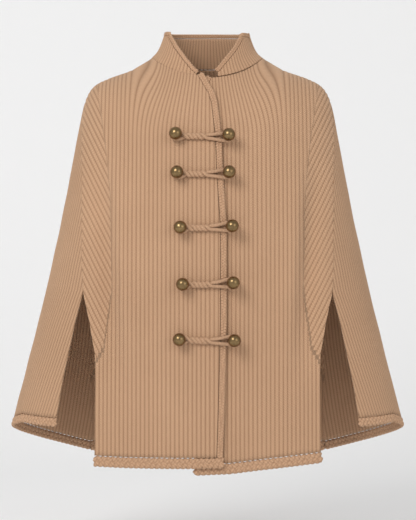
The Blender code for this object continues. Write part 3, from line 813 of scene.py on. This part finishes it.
def make_collar():
    """The collar's ribbed shell and the braid round its free edge."""
    columns, rows = COLLAR_MESH
    angles = np.linspace(-12.0, -349.0, columns)
    tops = np.array([collar_top(angle) for angle in angles])
    upper = np.maximum(tops - COLLAR_EDGE_WIDTH / 0.0135, NECK_GAP_SECTIONS + 0.12)
    place = upper[None, :] * np.linspace(1.0, 0.0, rows)[:, None]
    angle = np.broadcast_to(angles, place.shape)

    def shift(points):
        return np.where(points[..., 0] > 0, lap_shift(points, "left"), lap_shift(points, "right"))

    def ribs_of(points):
        foot = points[-1]
        run = np.concatenate([[0.0], np.cumsum(np.linalg.norm(np.diff(foot, axis=0), axis=-1))])
        return np.broadcast_to(run / RIB_PITCH_COLLAR, points.shape[:-1]), np.ones(points.shape[:-1])

    made, outer, inner = knitted("shell_collar", collar, angle, place, shift, COLLAR_WALL, ribs_of, KNIT)
    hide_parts("collar")
    middle = (outer + inner) / 2
    line, out, normal = edge_from(outer[0], inner[0], middle[1], 0.0)
    braid("braid_edge_collar", line, out, normal, COLLAR_BRAID, BRAID)
    return made


def front_point(x, z):
    """A point of the front's form by x and height, and its outward direction."""
    angle = np.array(0.0)
    down = np.array(6.0)
    for _ in range(10):
        down = down_at_height(angle, z)
        half = smooth_value(SECTIONS, "half_width", down)
        square = smooth_value(SECTIONS, "square", down)
        angle = np.sign(x) * np.degrees(np.arcsin(abs(x / half) ** (square / 2)))
    return body(angle, down), outward(body, angle, down)


def cord_middle(row, start, end, over, facing, share):
    """The line between a cord's two strands: it sags a little and keeps clear of the cloth."""
    middle = start + (end - start) * share[:, None]
    middle = middle - over * (row.sag * np.sin(math.pi * share))[:, None]
    for place, value in enumerate(share):
        straight = middle[place]
        face, normal = front_point(straight[0], straight[2])
        needed = LAP_OUT + CORD_LIFT + np.dot(face - straight, normal)
        middle[place] = straight + facing * needed * math.sin(math.pi * value) ** 0.5
    return middle


def cord_strands(middle, over, facing, share, round_shank):
    """The two strands: twisted for the first part, then parted to pass round a shank."""
    near_left = softly(share, CORD_SPLIT, 0.97)
    near_right = 1.0 - softly(share, 0.0, 0.16)
    touching = CORD_RADIUS + 0.0001
    half = touching + (round_shank - touching) * np.maximum(near_right, near_left)
    phase = 2 * math.pi * CORD_TURNS * softly(share, 0.06, CORD_SPLIT + 0.05)
    phase = np.where(share < 0.06, 0.0, phase)
    swing = over * (np.cos(phase) * half)[:, None]
    lift = facing * (np.sin(phase) * CORD_RADIUS * 0.75)[:, None]
    return middle + swing + lift, middle - swing - lift


def half_turn(centre, over, ahead, radius):
    """A half circle of points in the plane of two directions."""
    turns = np.linspace(0.0, math.pi, 13)[1:-1]
    return np.array([centre + (over * math.cos(turn) + ahead * math.sin(turn)) * radius for turn in turns])


def make_cord(number, row):
    """A closed cord loop round the shanks of a pair of balls."""
    face, normal_right = front_point(row.right_x, row.right_z)
    start = face + normal_right * (LAP_OUT + CORD_LIFT)
    face, normal_left = front_point(row.left_x, row.left_z)
    end = face + normal_left * (LAP_OUT + CORD_LIFT)
    facing = unit(normal_right + normal_left)
    ahead = unit(end - start)
    over = unit(np.cross(ahead, facing))
    over = over if over[2] > 0 else -over
    round_shank = SHANK_RADIUS + CORD_RADIUS + SHANK_CLEARANCE
    share = np.linspace(0.0, 1.0, CORD_POINTS)
    middle = cord_middle(row, start, end, over, facing, share)
    first, second = cord_strands(middle, over, facing, share, round_shank)
    if (first[-1] - end) @ over <= 0:
        first, second = second, first
    sign = 1 if (first[0] - start) @ over < 0 else -1
    round_end = half_turn(end, over, ahead, round_shank)
    round_start = half_turn(start, -over * sign, -ahead, round_shank)
    line = np.concatenate([first, round_end, second[::-1], round_start[::-1]])
    line = np.concatenate([line, line[:1]])
    rings = strand_rings(line, CORD_RADIUS, CORD_SIDES, 1.0, np.broadcast_to(facing, line.shape))
    points, faces = tube(rings)
    run = np.concatenate([[0.0], np.cumsum(np.linalg.norm(np.diff(line, axis=0), axis=-1))])
    made = add_mesh(f"cord_{number}", points, faces, BRAID, {"run": np.repeat(run, CORD_SIDES)})
    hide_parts(f"cord_loop_{number}")


def make_ball(name, foot, normal, lift):
    """A smooth ball and its shank."""
    first = math.asin(FOOT_RADIUS / BALL_RADIUS)
    neck = lift - math.sqrt(BALL_RADIUS**2 - FOOT_RADIUS**2)
    outline = [(0.0001, 0.0004), (FOOT_RADIUS, 0.0004), (FOOT_RADIUS, 0.0010), (SHANK_RADIUS, 0.0015),
               (SHANK_RADIUS, neck - 0.0010), (0.0030, neck - 0.0003)]
    outline += [(BALL_RADIUS * math.sin(turn), lift - BALL_RADIUS * math.cos(turn))
                for turn in np.linspace(first, math.pi - 0.02, 28)]
    side = unit(np.cross(normal, np.array([0.0, 0.0, 1.0])))
    over = np.cross(side, normal)
    turn = np.linspace(0, 2 * math.pi, 40, endpoint=False)
    rings = np.array([
        foot + normal * height
        + (side[None] * np.cos(turn)[:, None] + over[None] * np.sin(turn)[:, None]) * radius
        for radius, height in outline
    ])
    points, faces = tube(rings)
    made = add_mesh(f"shell_{name}", points, faces, BRASS, {})
    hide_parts(name)


def make_balls(number, row):
    """The right and left balls of one fastening."""
    face, normal = front_point(row.right_x, row.right_z)
    make_ball(f"ball_right_{number}", face + normal * LAP_OUT, normal, CORD_LIFT + BALL_LIFT)
    face, normal = front_point(row.left_x, row.left_z)
    make_ball(f"ball_left_{number}", face + normal * LAP_IN, normal, CORD_LIFT + BALL_LIFT + LAP_OUT - LAP_IN)


# ======== the studio ========

CAMERA_DISTANCE = 2.9
CAMERA_HEIGHT = -0.304
PICTURE_WIDTH = 0.6656             # how much the picture is wide at the body's middle
FLOOR_HEIGHT = -0.78


def make_camera():
    """A level camera straight in front."""
    camera = bpy.data.cameras.new("camera")
    camera.sensor_fit = "HORIZONTAL"
    camera.sensor_width = 36.0
    camera.lens = camera.sensor_width * CAMERA_DISTANCE / PICTURE_WIDTH
    made = bpy.data.objects.new("camera", camera)
    made.location = (0.0005, -CAMERA_DISTANCE, CAMERA_HEIGHT)
    made.rotation_euler = (math.pi / 2, 0.0, 0.0)
    bpy.context.scene.collection.objects.link(made)
    bpy.context.scene.camera = made


def add_area(name, place, aim, size, power):
    light = bpy.data.lights.new(name, "AREA")
    light.size = size
    light.energy = power
    made = bpy.data.objects.new(name, light)
    made.location = place
    away = np.array(place) - np.array(aim)
    flat = math.hypot(away[0], away[1])
    made.rotation_euler = (math.atan2(flat, away[2]), 0.0, math.atan2(away[0], -away[1]))
    bpy.context.scene.collection.objects.link(made)


def make_studio():
    """A white sweep, a soft white surround and two soft lights.

    The sweep's wall stands behind the cape, so a camera behind it sees only the wall.
    """
    turns = np.linspace(0.0, math.pi / 2, 13)
    outline = [(-6.0, FLOOR_HEIGHT), (1.2, FLOOR_HEIGHT)]
    outline += [(1.2 + 0.8 * math.sin(turn), FLOOR_HEIGHT + 0.8 - 0.8 * math.cos(turn)) for turn in turns[1:]]
    outline.append((2.0, 3.5))
    points = [(x, y, z) for y, z in outline for x in (-4.0, 4.0)]
    faces = [(2 * i, 2 * i + 1, 2 * i + 3, 2 * i + 2) for i in range(len(outline) - 1)]
    mesh = bpy.data.meshes.new("sweep")
    mesh.from_pydata(points, [], faces)
    mesh.shade_smooth()
    white = bpy.data.materials.new("white_sweep")
    white.use_nodes = True
    white.node_tree.nodes["Principled BSDF"].inputs["Base Color"].default_value = (0.93, 0.93, 0.93, 1.0)
    white.node_tree.nodes["Principled BSDF"].inputs["Roughness"].default_value = 0.9
    mesh.materials.append(white)
    sweep = bpy.data.objects.new("sweep", mesh)
    bpy.context.scene.collection.objects.link(sweep)
    world = bpy.data.worlds.new("surround")
    world.use_nodes = True
    world.node_tree.nodes["Background"].inputs["Color"].default_value = (1.0, 1.0, 1.0, 1.0)
    world.node_tree.nodes["Background"].inputs["Strength"].default_value = 0.62
    bpy.context.scene.world = world
    bpy.context.scene.view_settings.view_transform = "Standard"
    add_area("key", (-1.3, -2.4, 1.3), (0.0, 0.0, -0.3), 1.4, 50.0)
    add_area("fill", (1.8, -2.2, 0.4), (0.0, 0.0, -0.3), 1.6, 14.0)


# ======== build ========

front_right = make_front("right")
front_left = make_front("left")
side_right = make_side("right")
side_left = make_side("left")
back = make_back()
collar_piece = make_collar()
for count, fastening in enumerate(FASTENINGS, start=1):
    make_balls(count, fastening)
    make_cord(count, fastening)

make_camera()
make_studio()
